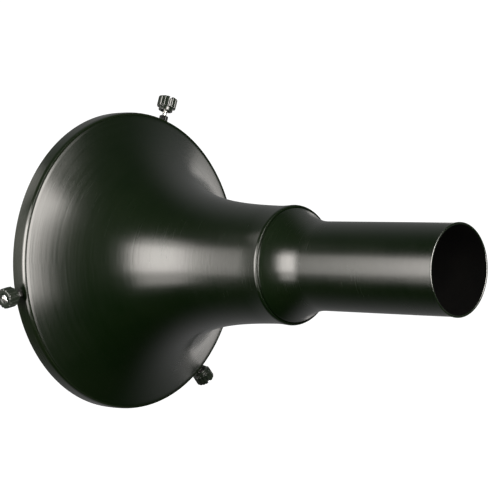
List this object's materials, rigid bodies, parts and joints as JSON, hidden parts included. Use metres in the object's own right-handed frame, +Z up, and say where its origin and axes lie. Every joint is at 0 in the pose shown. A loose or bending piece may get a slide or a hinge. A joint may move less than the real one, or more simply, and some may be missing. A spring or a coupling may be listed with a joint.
{
  "type": "snoot",
  "caption": "Snoot for a studio flash: a flat clamping ring with radial thumbscrews, a trumpet-shaped spun horn and a stepped tube that narrows the light to a small round beam.",
  "frame": {"origin": "centre of the ring's rear opening, on the light's axis", "axes": "+X along the light's axis, from the ring to the tube's mouth; +Z up; the ring's rear edge lies in the plane x = 0"},
  "size_m": [0.3764, 0.2829, 0.2834],
  "materials": {
    "ring_paint": "satin black paint on steel strip",
    "sheet_paint": "satin black paint on spun aluminium",
    "boss_black": "gloss black over steel",
    "zinc_steel": "bright zinc plate",
    "knob_plastic": "moulded, glossy",
    "tip_nylon": "natural nylon"
  },
  "bodies": {
    "snoot": {"collar_ring": "ring_paint", "horn": "sheet_paint", "nozzle": "sheet_paint", "boss_top": "boss_black", "boss_left": "boss_black", "boss_low": "boss_black"},
    "top_tip": {"tip_top": "tip_nylon"},
    "top_thumbscrew": {"stud_top": "zinc_steel", "knob_top": "knob_plastic"},
    "left_tip": {"tip_left": "tip_nylon"},
    "left_thumbscrew": {"stud_left": "zinc_steel", "knob_left": "knob_plastic"},
    "low_tip": {"tip_low": "tip_nylon"},
    "low_thumbscrew": {"stud_low": "zinc_steel", "knob_low": "knob_plastic"}
  },
  "joints": [
    {"name": "top_tip_travel", "type": "slide", "parent": "snoot", "child": "top_tip", "axis": [0, 0.3223, 0.9466], "range_m": [-0.01015, 0]},
    {"name": "top_screw_turn", "type": "hinge", "parent": "top_tip", "child": "top_thumbscrew", "pos_m": [0.006, 0.04673, 0.13726], "axis": [0, 0.3223, 0.9466], "range_deg": [-5220, 0]},
    {"name": "left_tip_travel", "type": "slide", "parent": "snoot", "child": "left_tip", "axis": [0, -0.981, -0.1942], "range_m": [-0.00525, 0.0049]},
    {"name": "left_screw_turn", "type": "hinge", "parent": "left_tip", "child": "left_thumbscrew", "pos_m": [0.006, -0.14224, -0.02816], "axis": [0, -0.981, -0.1942], "range_deg": [-2700, 2520]},
    {"name": "low_tip_travel", "type": "slide", "parent": "snoot", "child": "low_tip", "axis": [0, 0.6587, -0.7524], "range_m": [-0.00525, 0.0049]},
    {"name": "low_screw_turn", "type": "hinge", "parent": "low_tip", "child": "low_thumbscrew", "pos_m": [0.006, 0.09551, -0.1091], "axis": [0, 0.6587, -0.7524], "range_deg": [-2700, 2520]}
  ],
  "couplings": [
    {"joint": "top_screw_turn", "follows": "top_tip_travel", "rad_per_m": 8976},
    {"joint": "left_screw_turn", "follows": "left_tip_travel", "rad_per_m": 8976},
    {"joint": "low_screw_turn", "follows": "low_tip_travel", "rad_per_m": 8976}
  ]
}
